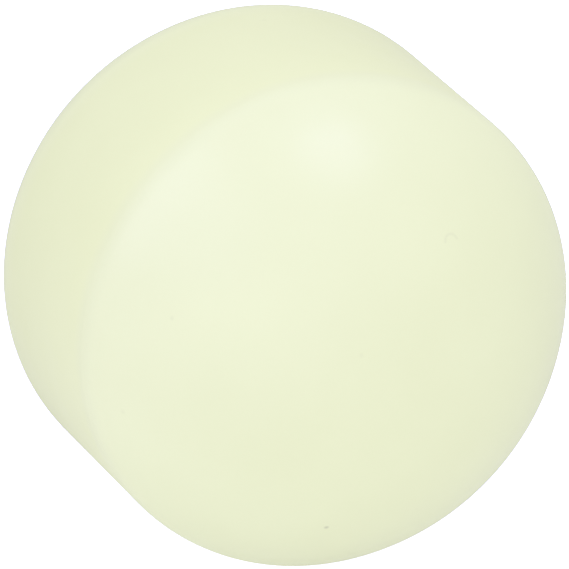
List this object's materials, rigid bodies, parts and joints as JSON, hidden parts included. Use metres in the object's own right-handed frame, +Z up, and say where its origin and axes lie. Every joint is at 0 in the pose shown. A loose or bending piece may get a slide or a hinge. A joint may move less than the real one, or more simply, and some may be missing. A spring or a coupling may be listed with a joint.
{
  "type": "cue ball",
  "caption": "Pale green cue ball with two domed ends and a straight cylindrical band round its waist, weighted by a steel core.",
  "frame": {"origin": "centre of the ball, halfway between the two domes on the axis", "axes": "+Y along the ball's axis from the front dome to the rear dome, +Z up with the ball lying on its band"},
  "size_m": [0.0522, 0.0572, 0.0522],
  "materials": {
    "dome_resin": "satin gloss, slightly translucent pale green",
    "band_resin": "satin, slightly translucent pale green",
    "core_steel": "ground and lapped"
  },
  "bodies": {
    "root": {"waist_sleeve": "band_resin", "front_dome": "dome_resin", "rear_dome": "dome_resin", "core_ball": "core_steel"}
  },
  "joints": []
}
